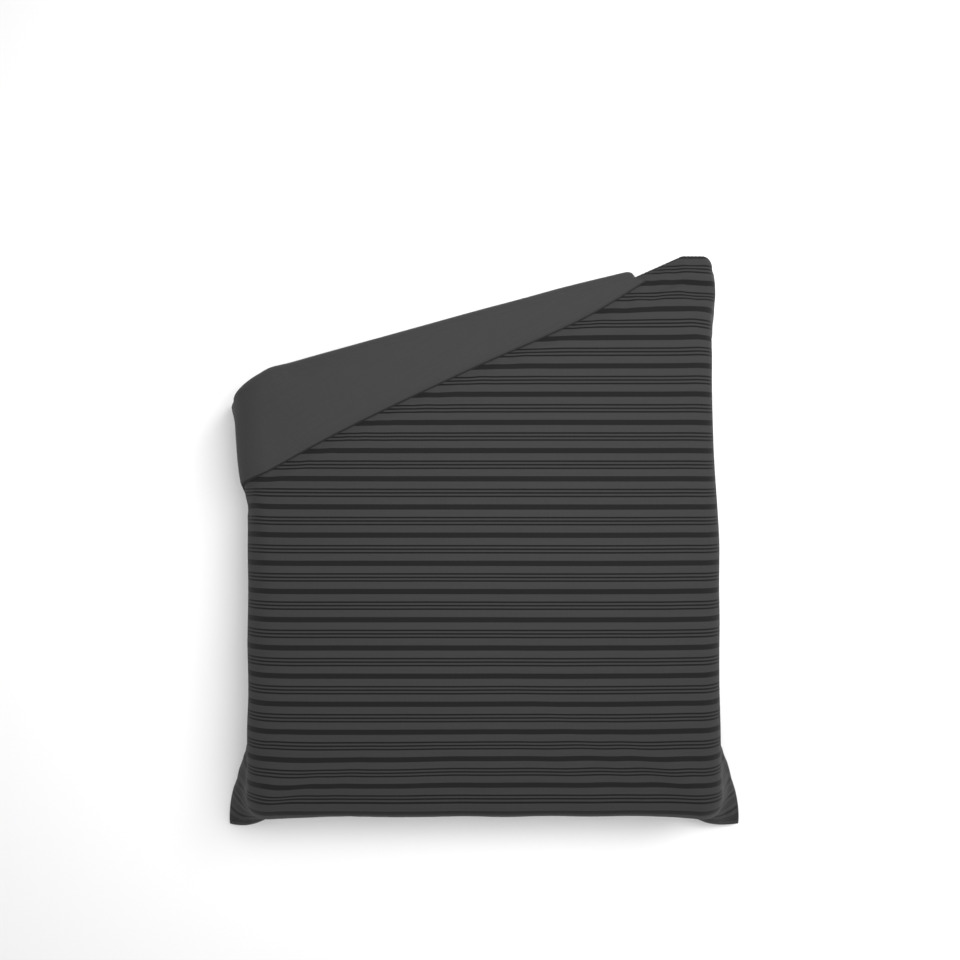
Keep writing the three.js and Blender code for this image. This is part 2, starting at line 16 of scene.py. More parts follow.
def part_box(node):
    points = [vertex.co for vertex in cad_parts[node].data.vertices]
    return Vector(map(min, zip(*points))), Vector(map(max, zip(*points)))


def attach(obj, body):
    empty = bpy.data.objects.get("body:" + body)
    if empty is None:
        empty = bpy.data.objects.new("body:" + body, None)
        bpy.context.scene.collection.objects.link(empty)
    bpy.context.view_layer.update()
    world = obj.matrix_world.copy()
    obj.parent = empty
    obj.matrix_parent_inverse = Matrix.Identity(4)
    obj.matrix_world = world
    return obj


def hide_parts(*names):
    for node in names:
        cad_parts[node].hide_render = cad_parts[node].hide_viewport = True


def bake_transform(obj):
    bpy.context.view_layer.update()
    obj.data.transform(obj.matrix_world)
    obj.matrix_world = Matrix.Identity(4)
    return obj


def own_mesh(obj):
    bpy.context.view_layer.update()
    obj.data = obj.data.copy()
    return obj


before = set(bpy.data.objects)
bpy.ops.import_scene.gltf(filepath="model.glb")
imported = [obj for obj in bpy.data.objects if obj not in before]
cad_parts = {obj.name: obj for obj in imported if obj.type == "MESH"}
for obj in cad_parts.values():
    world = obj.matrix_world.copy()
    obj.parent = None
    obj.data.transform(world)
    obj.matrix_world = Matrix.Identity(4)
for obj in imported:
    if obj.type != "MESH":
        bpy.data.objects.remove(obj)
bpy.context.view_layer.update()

bl_info = {
    "name": "Turned-back duvet",
    "version": (1, 0, 0),
    "blender": (4, 5, 0),
    "location": "View3D > Sidebar > Duvet",
    "description": "Builds a striped duvet with one head corner turned back",
    "category": "Add Mesh",
}

MM = 0.001

# The cloth as cut, and the mattress that shapes it
HALF_WIDTH = 1.0
LENGTH = 2.0
MATTRESS_HALF = 0.675
MATTRESS_FOOT_Y = -1.045
HEAD_V = 0.66
FOOT_V = HEAD_V - LENGTH
BEND_RADIUS = 0.040
SIDE_BEND = math.radians(87)
FOOT_BEND = math.radians(90)
FLARE_X = 0.150
FLARE_Y = 0.150
FLARE_POWER = 1.5
SIDE_FLARE_START = 0.400
ZIP_FLARE_GAP = 15 * MM
CREASE_FLARE_X = 0.080
RIGHT_TUCK = 0.026
RIGHT_TUCK_START = -0.35
RIGHT_TUCK_END = 0.40
CREASE_SLOPE = math.tan(math.radians(15.9))
CREASE_MIDDLE_V = 0.459
CREASE_END_U = 0.470
CREASE_HEM_V = 0.205
CREASE_FALL_START = 0.035
CREASE_FALL_END = 0.125
TURNED_HEM = ((-0.816, -0.095), (-0.458, 0.104), (-0.060, 0.296), (0.324, 0.471), (0.620, 0.660))
FOLD_GAP = 1 * MM
EDGE_INSET = 2.5 * MM  # from the outermost edge to where the cloth grids end
SIDE_LIFT = 8 * MM
CHANNELS = 8
INSERT_EDGE = 0.970
ZIP_HALF = 0.400
TURNED_SPLIT_U = -0.69
CREASE_FLARE_FADE = 0.260
BILLOW_LEFT = 14 * MM
BILLOW_RIGHT = 8 * MM
SEAM_INSET = 1.5 * MM  # from the outermost edge to the middle of a seam
HEM_STITCH_INSET = 9 * MM
PUCKER_PITCH = 12 * MM  # from one pucker of a seam to the next
STRIPE_EDGE = 0.9 * MM  # over which a stripe fades in

# Distances between the lines of the grids
COVER_STEP = 8 * MM
REVERSE_STEP = 12 * MM
INSERT_STEP = 10 * MM
TURNED_INSERT_STEP = 14 * MM
SEAM_STEP = 6 * MM
BINDING_STEP = 12 * MM
SETTLE_STEP = 24 * MM

# Worked-out sizes
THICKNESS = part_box("cover_face_panel")[1].z
MID_RADIUS = BEND_RADIUS + THICKNESS / 2
SIDE_CLOTH = HALF_WIDTH - MATTRESS_HALF
FOOT_CLOTH = MATTRESS_FOOT_Y - FOOT_V
COVER_EDGE = HALF_WIDTH - EDGE_INSET
INSERT_BORDER = HALF_WIDTH - INSERT_EDGE
CLOTH = 1.2 * MM
TUCK = 1.1 * CLOTH  # how far an underlap lies below the cloth that it runs on under
CREASE_CLEAR = 1 * MM  # from the turned corner's cloth to the crease's line
UNDERLAP = 8 * MM  # how far a cloth runs on under the one that it meets
SETTLE_FRAMES = 16
FLOOR_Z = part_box("side_seam_left")[0].z

# The turned corner lies in two lots, split where it leaves the mattress: how their names end,
# where they start and end across the cloth, their flat size and area, and their channels
Lot = collections.namedtuple("Lot", "ending start end flat area channels")
TURNED_LOTS = (
    Lot("", TURNED_SPLIT_U, CREASE_END_U, (1.16, 0.30), 0.18, range(3, 7)),
    Lot("_side", -COVER_EDGE, TURNED_SPLIT_U, (0.31, 0.40), 0.10, range(1, 3)),
)


def length(name, description, default, low=0.0):
    """A setting that is a length."""
    return bpy.props.FloatProperty(
        name=name, description=description, default=default, min=low, unit="LENGTH")


def paint_colour(name, description, default):
    """A setting that is a colour."""
    return bpy.props.FloatVectorProperty(
        name=name, description=description, default=default, min=0, max=1, subtype="COLOR")


class ClothSizes(bpy.types.PropertyGroup):
    """Sizes of the padding and its relief."""

    seam_height: length("Seam height", "Height of the seam above the underside", 7 * MM)
    pinch: length(
        "Pinch width", "How far from a seam the padding reaches full thickness", 0.075, MM)
    relief: length("Relief", "Height of the soft undulations on top", 3.5 * MM)
    hem_waves: length("Hem waves", "Depth of the folds at the hems of the drops", 11 * MM)
    zip_room: length("Zip room", "Extra height of the foot hem where the zip is", 10 * MM)
    stitch_pitch: length("Stitch pitch", "Distance from one stitch to the next", 4 * MM, MM)
    excess: bpy.props.FloatProperty(
        name="Cover excess", description="How much larger than its filling the cover is cut",
        default=0.03, min=0, max=0.2)
    buckle: length("Largest buckle", "How far the loose cloth may move as it settles", 9 * MM)


class ClothColours(bpy.types.PropertyGroup):
    """Colours and stripe sizes of the cover."""

    ground: paint_colour("Ground", "Cloth between the stripes", (0.0281, 0.0281, 0.0286))
    bold: paint_colour("Bold stripe", "The wide stripe", (0.0060, 0.0060, 0.0062))
    thin: paint_colour("Thin stripes", "The three thin stripes", (0.0040, 0.0040, 0.0042))
    reverse: paint_colour("Reverse", "The plain underside of the cover", (0.0300, 0.0300, 0.0305))
    repeat: length("Stripe repeat", "Distance from one bold stripe to the next", 0.0870, MM)
    first: length(
        "First bold stripe", "Where a bold stripe's middle lies along the cloth", 0.397, -LENGTH)
    bold_width: length("Bold width", "Width of the bold stripe", 16.4 * MM)
    thin_width: length("Thin width", "Width of a thin stripe", 5.2 * MM)
    thin_pitch: length("Thin pitch", "Distance between thin stripes", 10.8 * MM)


class StageSettings(bpy.types.PropertyGroup):
    """Floor, lamps and camera."""

    floor: paint_colour("Floor", "Colour of the floor", (0.90, 0.90, 0.90))
    camera_height: length("Camera height", "Height above the mattress top", 2.5, 0.1)
    lens: bpy.props.FloatProperty(
        name="Lens", description="Focal length in millimetres", default=29.8, min=1)


# ---- the drape

def unit(vectors):
    """The same directions at length 1."""
    return vectors / np.linalg.norm(vectors, axis=-1, keepdims=True)


def run_lengths(points):
    """How far along a line each of its points is."""
    return np.concatenate([[0], np.cumsum(np.linalg.norm(np.diff(points, axis=0), axis=1))])


def smooth(x, start, end):
    """0 up to start and 1 from end on, with an even turn between them."""
    share = np.clip((x - start) / (end - start), 0, 1)
    return share * share * (3 - 2 * share)


def drop(cloth, bend):
    """How far out and down the inner surface is, a cloth length past the mattress edge."""
    hang = np.maximum(cloth, 0)
    turned = np.minimum(hang / MID_RADIUS, bend)
    straight = np.maximum(0, hang - MID_RADIUS * bend)
    out = BEND_RADIUS * np.sin(turned) + straight * math.cos(bend)
    down = BEND_RADIUS * (1 - np.cos(turned)) + straight * math.sin(bend)
    return out, down


SIDE_DEPTH = float(drop(np.array([SIDE_CLOTH]), SIDE_BEND)[1][0])


def hang_shares(u, v):
    """How far down the side and foot drops a place is, 0 at the mattress edge and 1 at the hem."""
    side = np.maximum(np.abs(u) - MATTRESS_HALF, 0) / SIDE_CLOTH
    foot = np.maximum(MATTRESS_FOOT_Y - v, 0) / FOOT_CLOTH
    return side, foot


def under(u, v):
    """The surface that the underside lies on. The foot corners flare with their hem level, the
    left hem stands out under the crease, and the right side is tucked in towards the head."""
    side, foot = hang_shares(u, v)
    side_out, side_down = drop(side * SIDE_CLOTH, SIDE_BEND)
    foot_out, foot_down = drop(foot * FOOT_CLOTH, FOOT_BEND)
    to_foot = smooth(-v, -MATTRESS_FOOT_Y - SIDE_FLARE_START, -FOOT_V)
    to_side = smooth(np.abs(u), ZIP_HALF + ZIP_FLARE_GAP, HALF_WIDTH)
    to_crease = np.clip((v - CREASE_HEM_V) / CREASE_FLARE_FADE + 1, 0, 1) * (u < 0)
    to_head = smooth(v, RIGHT_TUCK_START, RIGHT_TUCK_END) * (u > 0)
    billow = np.where(u < 0, BILLOW_LEFT * (1 - to_crease), BILLOW_RIGHT * (1 - to_head))
    billow = billow * (1 - to_foot) * (1 - smooth(foot, 0, 0.2)) - RIGHT_TUCK * to_head
    flare = FLARE_X * to_foot + CREASE_FLARE_X * to_crease
    x = np.minimum(np.abs(u), MATTRESS_HALF) + side_out + flare * side**FLARE_POWER
    x = x + billow * smooth(side, 0, 0.25)
    y = np.maximum(v, MATTRESS_FOOT_Y) - foot_out - FLARE_Y * foot**FLARE_POWER * to_side
    kept = (1 - side_down / SIDE_DEPTH) * (1 - foot_down / SIDE_DEPTH)
    return np.stack([np.sign(u) * x, y, -SIDE_DEPTH * (1 - kept)], axis=-1)


def drape(u, v, t):
    """Points in space for cloth coordinates, as arrays of one shape."""
    step = 0.5 * MM
    across = under(u + step, v) - under(u - step, v)
    along = under(u, v + step) - under(u, v - step)
    normal = unit(np.cross(across, along))
    return under(u, v) + normal * np.asarray(t)[..., None]


def crease_v(u):
    """Where the crease crosses the cloth: straight on the mattress, falling at its edge."""
    fallen = smooth(-u, MATTRESS_HALF - CREASE_FALL_START, MATTRESS_HALF + CREASE_FALL_END)
    line = CREASE_MIDDLE_V + CREASE_SLOPE * u
    return line + (CREASE_HEM_V - line) * fallen


def head_v(u):
    """The edge of the part that isn't turned back: the crease, then the head hem."""
    end = CREASE_MIDDLE_V + CREASE_SLOPE * CREASE_END_U
    share = np.clip((u - CREASE_END_U) / (APEX_U - CREASE_END_U), 0, 1)
    return np.where(u <= CREASE_END_U, crease_v(u), end + (HEAD_V - end) * share)


def side_lift(u):
    """Extra room in the fold where the turned corner hangs over the side."""
    return SIDE_LIFT * (1 - smooth(u, -MATTRESS_HALF, -MATTRESS_HALF + 0.09))


def hem_curve():
    """A smooth line through the turned hem's points, as an array, even along its length."""
    points = np.array(TURNED_HEM)
    padded = np.vstack([points[:1], points, points[-1:]])
    found = []
    for a, b, c, d in zip(padded, padded[1:], padded[2:], padded[3:]):
        for s in np.linspace(0, 1, 40, endpoint=False):
            found.append(0.5 * (2 * b + (c - a) * s + (2 * a - 5 * b + 4 * c - d) * s**2
                                + (3 * b - a - 3 * c + d) * s**3))
    found = np.array([*found, points[-1]])
    gone = run_lengths(found)
    return found, gone / gone[-1]


HEM_LINE, HEM_SHARE = hem_curve()
APEX_U = TURNED_HEM[-1][0]


def turned_spot(u, w):
    """Cloth coordinates under a point of the turned corner: w is its distance from the hem as a
    share of the way to the crease. Also gives the distance in metres and the whole width."""
    share = np.clip((u + HALF_WIDTH) / (APEX_U + HALF_WIDTH), 0, 1)
    hem = np.stack([np.interp(share, HEM_SHARE, HEM_LINE[:, k]) for k in (0, 1)], axis=-1)
    crease = np.stack([u, crease_v(u)], axis=-1)
    width = np.linalg.norm(hem - crease, axis=-1)
    spot = hem + (crease - hem) * w[..., None]
    return spot[..., 0], spot[..., 1], width * w, width


# ---- relief of the padding

def bumps(u, v, scale, seed):
    """Smooth noise from -1 to 1 over the cloth; scale is (cycles per metre across, along)."""
    flat = zip(np.ravel(u) * scale[0], np.ravel(v) * scale[1])
    values = [noise.noise(Vector((a, b, seed))) for a, b in flat]
    return np.array(values).reshape(np.shape(u))


def plump(distance, reach):
    """0 at a seam, rising steeply and levelling out at 1 at reach from it."""
    share = np.clip(distance / reach, 0, 1)
    return np.sqrt(1 - (1 - share) ** 2)


def covered(u, v):
    """1 where the turned corner lies on the duvet, 0 elsewhere, with a soft edge."""
    hem = np.interp(u, HEM_LINE[:, 0], HEM_LINE[:, 1], left=TURNED_HEM[0][1], right=2 * LENGTH)
    return smooth(v, hem - 0.06, hem)


def at_zip(u, v):
    """1 along the zip, 0 away from it."""
    return smooth(ZIP_HALF + 0.09 - np.abs(u), 0, 0.08) * smooth(-v, -FOOT_V - 0.08, -FOOT_V)


def cover_relief(u, v):
    """Height that undulations and folds add to the duvet, by place on the cloth."""
    sizes = bpy.context.scene.duvet_sizes
    side, foot = hang_shares(u, v)
    soft = bumps(u, v, (2.2, 2.6), 3.1) + 0.5 * bumps(u, v, (6.5, 5.0), 7.7)
    fine = bumps(u, v, (26, 11), 1.3) * bumps(u, v, (3, 3), 9.2)
    side_waves = np.sin(v * 21 + 2.2 * bumps(u, v, (1, 2.2), 5.5)) * side**1.4
    foot_waves = np.sin(u * 19 + 2.4 * bumps(u, v, (2.2, 1), 2.8)) * foot**1.4
    waves = sizes.hem_waves * 0.5 * (side_waves + foot_waves)
    total = sizes.relief * soft + 1.6 * MM * fine + waves
    return total * (1 - covered(u, v)) * (1 - at_zip(u, v))


def hem_taper(u):
    """How fast the turned corner thickens from its hem: slowly, and more so where it hangs."""
    return 0.3 - 0.18 * smooth(-u, 0.6, 0.75)


def thickness(distance, seam, pinch):
    """Thickness of the duvet at a distance from its nearest seam."""
    return seam + (THICKNESS - seam) * plump(distance, pinch)


def crease_room(u):
    """How far the crease is from where it dies out, counted as a distance from a seam."""
    width = turned_spot(u, np.zeros(np.shape(u)))[3]
    return np.where(u < CREASE_END_U, np.minimum(0.5 * (CREASE_END_U - u), hem_taper(u) * width), 0)


# ---- meshes

def edged(grid):
    """The grid with one more line close to each end, so that the rim's shading stays at the rim."""
    for axis in (0, 1):
        lines = np.moveaxis(grid, axis, 0)
        near = lines[:1] + (lines[1:2] - lines[:1]) * 0.04
        far = lines[-1:] + (lines[-2:-1] - lines[-1:]) * 0.04
        grid = np.moveaxis(np.concatenate([lines[:1], near, lines[1:-1], far, lines[-1:]]), 0, axis)
    return grid


def new_piece(name, points, faces, materials, cloth=None):
    """A smooth mesh. cloth holds the cloth coordinates of the points, which the materials read."""
    mesh = bpy.data.meshes.new(name)
    mesh.from_pydata(points.reshape(-1, 3).tolist(), [], faces)
    for material in materials:
        mesh.materials.append(material)
    mesh.polygons.foreach_set("use_smooth", np.ones(len(faces), bool))
    if cloth is not None:
        place = mesh.attributes.new("cloth", "FLOAT_VECTOR", "POINT")
        place.data.foreach_set("vector", cloth.astype(np.float32).ravel())
    mesh.update()
    mesh.validate()
    piece = bpy.data.objects.new(name, mesh)
    bpy.context.scene.collection.objects.link(piece)
    return piece


def solid_from_grids(name, upper, lower, look=None, cloth=None):
    """A closed mesh between two grids of points of one size. cloth holds the grid's u and v;
    without it the grid stays as it is."""
    if cloth is not None:
        flat = edged(np.dstack([*cloth, np.zeros(cloth[0].shape)]))
        cloth = np.stack([flat, flat])
        upper, lower = edged(upper), edged(lower)
    rows, columns = upper.shape[:2]
    count = rows * columns
    index = np.arange(count).reshape(rows, columns)
    quads = np.stack([index[:-1, :-1], index[1:, :-1], index[1:, 1:], index[:-1, 1:]], -1)
    top = quads.reshape(-1, 4)
    bottom = top[:, ::-1] + count
    rim = np.concatenate([index[:-1, 0], index[-1, :-1], index[:0:-1, -1], index[0, :0:-1]])
    after = np.roll(rim, -1)
    wall = np.stack([after, rim, rim + count, after + count], -1)
    materials = [finish(look)] if look else []
    return new_piece(name, np.stack([upper, lower]), np.vstack([top, bottom, wall]).tolist(),
                     materials, cloth)


def steps(start, end, size):
    """Values from start to end, about size apart."""
    return np.linspace(start, end, max(2, int(round((end - start) / size)) + 1))


def grid_head(u, inset):
    """The head edge of a grid: the crease, then an inset from the head hem."""
    return head_v(u) - inset * smooth(u, CREASE_END_U - 0.02, CREASE_END_U + 0.02)


def duvet_grid(edge, inset, size):
    """Cloth coordinates of the part that isn't turned back, from -edge to edge across it and
    from inset within its foot to inset within its head."""
    foot = FOOT_V + inset
    u, share = np.meshgrid(steps(-edge, edge, size), steps(0, LENGTH, size) / LENGTH, indexing="ij")
    return u, foot + (grid_head(u, inset) - foot) * share


def cover_grid(size):
    """The same for the cover's panels."""
    return duvet_grid(COVER_EDGE, EDGE_INSET, size)


def cover_heights(u, v, relief=1.0):
    """Heights of the cover's two outer surfaces. The filling thins out towards every seam; its
    underside stays on the mattress, and a hanging hem lies in the middle of the thickness."""
    sizes = bpy.context.scene.duvet_sizes
    from_head = np.maximum(head_v(u) - v, 0) + crease_room(u)
    distance = np.minimum.reduce([HALF_WIDTH - np.abs(u), v - FOOT_V, from_head])
    seam = sizes.seam_height + sizes.zip_room * at_zip(u, v)
    thick = thickness(distance, seam, sizes.pinch)
    hanging = smooth(np.maximum(*hang_shares(u, v)), 0, 0.35)
    rise = np.maximum(0.5 * hanging, covered(u, v) * smooth(-u, 0.3, 0.6))
    lower = (THICKNESS - thick) * rise
    raised = relief * cover_relief(u, v)
    raised = raised * (0.3 + 0.7 * (thick - seam) / (THICKNESS - seam))
    upper = lower + thick + raised
    return upper, np.maximum(lower + raised * hanging, 0)


def inside(u, v, rise=0.0, relief=0.0):
    """Points half way through the duvet, or rise above that."""
    upper, lower = cover_heights(u, v, relief)
    return drape(u, v, (upper + lower) / 2 + rise)


def rest(piece, body, slot, *nodes):
    """Lets a piece ride on a body, in place of the CAD nodes."""
    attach(piece, body)
    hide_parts(*nodes)
    return piece


# ---- shader maths

class Field:
    """A value in a material's node tree. Sums on it add Math nodes."""

    def __init__(self, tree, socket):
        self.tree = tree
        self.socket = socket

    def node(self, kind, settings=None, sockets=None, output=0):
        """The output of a new node with its settings and its sockets' values."""
        made = self.tree.nodes.new(kind)
        for name, value in (settings or {}).items():
            setattr(made, name, value)
        for key, value in (sockets or {}).items():
            if isinstance(value, Field):
                self.tree.links.new(value.socket, made.inputs[key])
            else:
                made.inputs[key].default_value = value
        return Field(self.tree, made.outputs[output])

    def maths(self, operation, *others, reflected=False):
        values = (*others, self) if reflected else (self, *others)
        return self.node("ShaderNodeMath", {"operation": operation}, dict(enumerate(values)))

    def __add__(self, other):
        return self.maths("ADD", other)

    def __mul__(self, other):
        return self.maths("MULTIPLY", other)

    def __sub__(self, other):
        return self.maths("SUBTRACT", other)

    def __truediv__(self, other):
        return self.maths("DIVIDE", other)

    def __rsub__(self, other):
        return self.maths("SUBTRACT", other, reflected=True)

    def __rtruediv__(self, other):
        return self.maths("DIVIDE", other, reflected=True)

    __radd__ = __add__
    __rmul__ = __mul__

    def shaded(self, colour):
        """colour made lighter or darker by this, a factor near 1."""
        return self.node("ShaderNodeVectorMath", {"operation": "SCALE"}, {0: colour, "Scale": self})

    def mix(self, colour, other):
        """colour where this is 0, other where it is 1."""
        return self.node("ShaderNodeMix", {"data_type": "RGBA"}, {0: self, 6: colour, 7: other}, 2)


class Material(Field):
    """A new material with one Principled shader."""

    def __init__(self, name, **constants):
        self.material = bpy.data.materials.new(name)
        self.material.use_nodes = True
        super().__init__(self.material.node_tree, None)
        self.shader = self.tree.nodes["Principled BSDF"]
        for socket, value in constants.items():
            self.shader.inputs[socket.replace("_", " ")].default_value = value

    def feed(self, socket, value):
        """Links a value that varies over the surface to the shader."""
        self.tree.links.new(value.socket, self.shader.inputs[socket])

    def bump(self, height, distance, strength):
        """Raises the surface by a height from 0 to 1, times distance."""
        normal = self.node("ShaderNodeBump", None,
                           {"Height": height, "Distance": distance, "Strength": strength})
        self.feed("Normal", normal)

    def cloth(self):
        """Cloth coordinates, across and along, in metres."""
        place = self.node("ShaderNodeAttribute", {"attribute_name": "cloth"}, None, "Vector")
        return self.split(place)[:2]

    def split(self, vector):
        """The three parts of a vector."""
        parts = vector.node("ShaderNodeSeparateXYZ", None, {0: vector})
        outputs = parts.socket.node.outputs
        return [Field(self.tree, outputs[k]) for k in range(3)]

    def join(self, x, y, z):
        """A vector from its three parts."""
        return self.node("ShaderNodeCombineXYZ", None, {0: x, 1: y, 2: z})

    def speckle(self, vector, scale=1.0):
        """Noise from 0 to 1."""
        return self.node("ShaderNodeTexNoise", None,
                         {"Vector": vector, "Scale": scale, "Detail": 2.0})


def rgba(colour):
    return (*colour, 1.0)


def weave(across, along, pitch):
    """Height of a plain weave: threads over and under each other, 0 to 1."""
    turn = 2 * math.pi / pitch
    return (across * turn).maths("SINE") * (along * turn).maths("SINE") * 0.5 + 0.5


def yarn_tone(paint, across, along):
    """Slight light and dark of single yarns, mostly along the weft, about 0."""
    weft = paint.speckle(paint.join(across * 12, along * 900, 0.0))
    warp = paint.speckle(paint.join(across * 900, along * 12, 3.0))
    slubs = paint.speckle(paint.join(across * 2.5, along * 170, 6.0))
    return (weft + warp - 1.0) * 0.5 + (slubs - 0.5) * 0.35


def band(distance, width):
    """1 within half a width, 0 beyond, with a soft edge."""
    made = (width / 2 - distance) / STRIPE_EDGE + 0.5
    return made.node("ShaderNodeClamp", None, {"Value": made})


def face_cloth(colours):
    """Striped face: yarn-dyed bands across the width in a plain weave."""
    paint = Material("striped_face", Roughness=0.88, Sheen_Weight=0.05, Sheen_Roughness=0.5,
                     Specular_IOR_Level=0.18)
    across, along = paint.cloth()
    turns = (along - colours.first) / colours.repeat
    to_bold = ((turns + 0.5).maths("FRACT") - 0.5).maths("ABSOLUTE") * colours.repeat
    to_thin = (turns.maths("FRACT") - 0.5).maths("ABSOLUTE") * colours.repeat
    to_outer = (to_thin - colours.thin_pitch).maths("ABSOLUTE")
    bold = band(to_bold, colours.bold_width)
    thin = band(to_thin.maths("MINIMUM", to_outer), colours.thin_width)
    tone = yarn_tone(paint, across, along)
    colour = thin.mix(rgba(colours.ground), rgba(colours.thin))
    colour = bold.mix(colour, rgba(colours.bold))
    paint.feed("Base Color", (tone * 0.5 + 1.0).shaded(colour))
    paint.feed("Roughness", tone * 0.12 + 0.88)
    threads = weave(across, along, 0.9 * MM)
    paint.bump(threads * 0.6 + tone * 0.4 + bold * 0.4, 0.25 * MM, 0.6)
    return paint.material


def plain_cloth(name, colour, pitch, rough=0.9, sheen=0.05, mottle=0.5):
    """Plain-woven cloth whose yarns vary slightly, on a piece with cloth coordinates."""
    paint = Material(name, Roughness=rough, Sheen_Weight=sheen, Sheen_Roughness=0.5,
                     Specular_IOR_Level=0.18)
    across, along = paint.cloth()
    tone = yarn_tone(paint, across, along)
    paint.feed("Base Color", (tone * mottle + 1.0).shaded(colour))
    paint.feed("Roughness", tone * 0.12 + rough)
    paint.bump(weave(across, along, pitch) * 0.6 + tone * 0.4, 0.25 * MM, 0.6)
    return paint.material


def ribbed(name, colour, pitch, rough):
    """Tape, thread or nylon with fine ribs, laid out by its place in space."""
    paint = Material(name, Roughness=rough)
    place = paint.node("ShaderNodeTexCoord", None, None, "Object")
    x, y, z = paint.split(place)
    ribs = ((x + y * 0.31 + z * 0.7) * (2 * math.pi / pitch)).maths("SINE") * 0.5 + 0.5
    mottle = paint.speckle(place, 240.0)
    paint.feed("Base Color", (mottle * 0.4 + 0.8).shaded(colour))
    paint.feed("Roughness", mottle * 0.2 + (rough - 0.1))
    paint.bump(ribs, 0.2 * MM, 0.5)
    return paint.material


def zinc(name):
    """Die-cast zinc with fine brushing and dulled high spots."""
    paint = Material(name, Metallic=1.0)
    place = paint.node("ShaderNodeTexCoord", None, None, "Object")
    x, y, z = paint.split(place)
    grain = paint.speckle(paint.join(x * 300, y * 4000, z * 4000))
    stain = paint.speckle(place, 500.0)
    paint.feed("Base Color", stain.mix(rgba((0.30, 0.30, 0.31)), rgba((0.48, 0.48, 0.50))))
    paint.feed("Roughness", grain * 0.25 + 0.22)
    paint.bump(grain, 0.05 * MM, 0.4)
    return paint.material


@functools.lru_cache
def finish(name):
    """The material of that name, made once."""
    colours = bpy.context.scene.duvet_colours
    makers = {
        "face": lambda: face_cloth(colours),
        "reverse": lambda: plain_cloth("plain_reverse", colours.reverse, 0.9 * MM),
        # The seam welts are darker than the cover cloth: painted shade along the duvet's edges.
        "seam": lambda: plain_cloth("seam_edge_painted_shade", (0.0135, 0.0135, 0.014), 1.1 * MM),
        "thread": lambda: ribbed("sewing_thread", (0.03, 0.03, 0.031), 0.6 * MM, 0.7),
        "filling": lambda: plain_cloth("insert_shell", (0.80, 0.79, 0.76), 0.7 * MM, 0.85, 0.2, 0.12),
        "binding": lambda: ribbed("binding_tape", (0.72, 0.70, 0.66), 1.2 * MM, 0.8),
        "tape": lambda: ribbed("woven_tape", (0.035, 0.035, 0.035), 1.0 * MM, 0.8),
        "nylon": lambda: ribbed("coil_nylon", (0.02, 0.02, 0.021), 1.5 * MM, 0.4),
        "zinc": lambda: zinc("cast_zinc"),
        "label": lambda: ribbed("satin_label", (0.85, 0.84, 0.82), 0.5 * MM, 0.45),
    }
    return makers[name]()


# ---- pieces

@functools.lru_cache
def settled():
    """Lets the cover, cut a little larger than its filling, buckle as the filling pushes out.
    Gives the moves of both surfaces on a coarse grid of (across, along) shares."""
    sizes = bpy.context.scene.duvet_sizes
    u, v = cover_grid(SETTLE_STEP)
    upper, lower = cover_heights(u, v)
    shell = solid_from_grids("settling", drape(u, v, upper), drape(u, v, lower))
    to_seam = np.minimum.reduce([COVER_EDGE - np.abs(u), v - FOOT_V, head_v(u) - v])
    held = np.maximum(1 - smooth(to_seam, 0.02, 0.06), covered(u, v))
    resting = np.maximum(held, 1 - smooth(np.maximum(*hang_shares(u, v)), 0.1, 0.3))
    group = shell.vertex_groups.new(name="held")
    for index, weight in enumerate(np.concatenate([held.ravel(), resting.ravel()]).tolist()):
        group.add([index], weight, "REPLACE")
    start = np.array([p.co for p in shell.data.vertices])
    cloth = shell.modifiers.new("cloth", "CLOTH")
    cloth.settings.quality = 5
    cloth.settings.vertex_group_mass = "held"
    cloth.settings.effector_weights.gravity = 0
    cloth.settings.use_pressure = True
    cloth.settings.uniform_pressure_force = 3
    cloth.settings.shrink_min = -sizes.excess
    cloth.settings.bending_stiffness = 0.3
    cloth.point_cache.frame_end = SETTLE_FRAMES
    for number in range(1, SETTLE_FRAMES + 1):
        bpy.context.scene.frame_set(number)
    shape = shell.evaluated_get(bpy.context.evaluated_depsgraph_get()).data
    moves = np.array([p.co for p in shape.vertices]) - start
    gone = np.linalg.norm(moves, axis=1, keepdims=True)
    moves *= np.minimum(1, sizes.buckle / np.maximum(gone, 1e-9))
    bpy.data.objects.remove(shell)
    bpy.context.scene.frame_set(1)
    return [finer(surface, 3) for surface in moves.reshape(2, *u.shape, 3)]


def finer(moves, times):
    """Moves on a grid several times as fine, smoothed."""
    for axis in (0, 1):
        old = np.arange(moves.shape[axis])
        new = np.linspace(0, old[-1], times * old[-1] + 1)
        moves = np.apply_along_axis(lambda line: np.interp(new, old, line), axis, moves)
    for _ in range(4):
        wide = np.pad(moves, ((1, 1), (1, 1), (0, 0)), "edge")
        moves = (wide[:-2, 1:-1] + wide[2:, 1:-1] + wide[1:-1, :-2] + wide[1:-1, 2:]
                 + 2 * wide[1:-1, 1:-1]) / 6
    return moves


def moved(surface, u, v):
    """How far the cover's upper (0) or lower (1) surface settles at places on the cloth."""
    moves = settled()[surface]
    foot = FOOT_V + EDGE_INSET
    across = (u + HALF_WIDTH - EDGE_INSET) / (2 * COVER_EDGE)
    along = (v - foot) / (grid_head(u, EDGE_INSET) - foot)
    rows = np.clip(across, 0, 1) * (moves.shape[0] - 1)
    columns = np.clip(along, 0, 1) * (moves.shape[1] - 1)
    row = np.minimum(rows.astype(int), moves.shape[0] - 2)
    column = np.minimum(columns.astype(int), moves.shape[1] - 2)
    a = (rows - row)[..., None]
    b = (columns - column)[..., None]
    near = moves[row, column] * (1 - b) + moves[row, column + 1] * b
    far = moves[row + 1, column] * (1 - b) + moves[row + 1, column + 1] * b
    return near * (1 - a) + far * a


